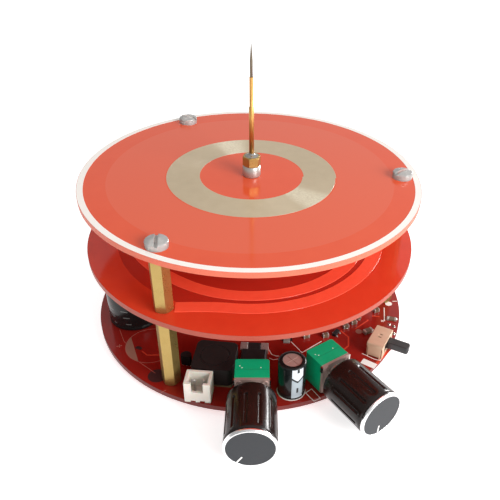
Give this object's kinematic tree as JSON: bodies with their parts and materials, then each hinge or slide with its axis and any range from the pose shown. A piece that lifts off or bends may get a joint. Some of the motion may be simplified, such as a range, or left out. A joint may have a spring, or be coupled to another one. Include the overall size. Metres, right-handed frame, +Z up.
{
  "type": "desktop resonant transformer",
  "caption": "Desktop resonant transformer: stacked round circuit boards with flat spiral windings on hexagonal spacers, a needle electrode, rotary controls, slide switch and power header.",
  "frame": {"origin": "on the boards' common axis, in the plane of the feet's undersides", "axes": "+Z up along the needle electrode; -Y towards the front, where the rotary controls stand out; +X to the right of a person facing them"},
  "size_m": [0.1002, 0.119, 0.0878],
  "materials": {
    "red_laminate": "glossy red solder-masked glass-epoxy laminate",
    "lacquered_copper": "copper track under glossy red lacquer",
    "tinned_copper": "hot-air tinned copper track",
    "brass": "bright drawn brass",
    "clear_nylon": "translucent moulded nylon",
    "solder": "bright tin solder",
    "needle_steel": "dark polished steel",
    "green_moulding": "green moulded plastic",
    "plated_steel": "stamped plated steel",
    "nickel_plate": "nickel-plated turned brass",
    "knob_black": "black moulded plastic",
    "bright_ring": "spun bright aluminium",
    "slate_disc": "slate-grey satin insert",
    "tan_plate": "tan passivated steel",
    "brown_laminate": "brown phenolic laminate",
    "lever_black": "black moulded plastic",
    "white_nylon": "off-white moulded nylon",
    "tinned_lead": "tinned metal",
    "can_aluminium": "drawn aluminium",
    "black_sleeve": "black shrunk sleeve",
    "ferrite": "brown-black sintered ferrite",
    "tan_base": "tan moulded base",
    "black_epoxy": "black moulded epoxy",
    "chip_ceramic": "fired ceramic chip"
  },
  "bodies": {
    "stack": {"control_board": "red_laminate", "primary_board": "red_laminate", "secondary_board": "red_laminate", "primary_winding": "lacquered_copper", "secondary_winding": "tinned_copper", "lower_spacers": "brass", "upper_spacers": "brass", "top_screws": "clear_nylon", "foot_screws": "clear_nylon", "electrode_socket": "solder", "electrode_nut": "brass", "electrode_solder": "solder", "electrode_rod": "brass", "electrode_needle": "needle_steel", "left_pot_body": "green_moulding", "left_pot_bracket": "plated_steel", "left_pot_bush": "nickel_plate", "left_pot_pins": "tinned_lead", "right_pot_body": "green_moulding", "right_pot_bracket": "plated_steel", "right_pot_bush": "nickel_plate", "right_pot_pins": "tinned_lead", "switch_base": "brown_laminate", "switch_shell": "tan_plate", "switch_pins": "tinned_lead", "header_housing": "white_nylon", "header_pins": "tinned_lead", "reservoir_can": "can_aluminium", "reservoir_sleeve": "black_sleeve", "reservoir_leads": "tinned_lead", "filter_can": "can_aluminium", "filter_sleeve": "black_sleeve", "filter_leads": "tinned_lead", "choke_core": "ferrite", "choke_base": "tan_base", "power_transistor": "black_epoxy", "power_leads": "tinned_lead", "signal_transistor": "black_epoxy", "signal_leads": "tinned_lead", "diode_body": "black_epoxy", "diode_terminals": "tinned_lead", "switch_transistor": "black_epoxy", "switch_transistor_legs": "tinned_lead", "chip_bodies": "chip_ceramic", "chip_ends": "tinned_lead", "solder_joints": "solder"},
    "left_control": {"left_shaft": "nickel_plate", "left_knob": "knob_black", "left_knob_ring": "bright_ring", "left_knob_disc": "slate_disc"},
    "right_control": {"right_shaft": "nickel_plate", "right_knob": "knob_black", "right_knob_ring": "bright_ring", "right_knob_disc": "slate_disc"},
    "switch_lever": {"switch_slider": "lever_black"}
  },
  "joints": [
    {"name": "left_control_turn", "type": "hinge", "parent": "stack", "child": "left_control", "pos_m": [0.00362, -0.04927, 0.01], "axis": [-0.0558, 0.9984, 0], "range_deg": [0, 280]},
    {"name": "right_control_turn", "type": "hinge", "parent": "stack", "child": "right_control", "pos_m": [0.02663, -0.04054, 0.01], "axis": [-0.6115, 0.7912, 0], "range_deg": [0, 280]},
    {"name": "switch_slide", "type": "slide", "parent": "stack", "child": "switch_lever", "axis": [-0.4226, -0.9063, 0], "range_m": [0, 0.002]}
  ]
}
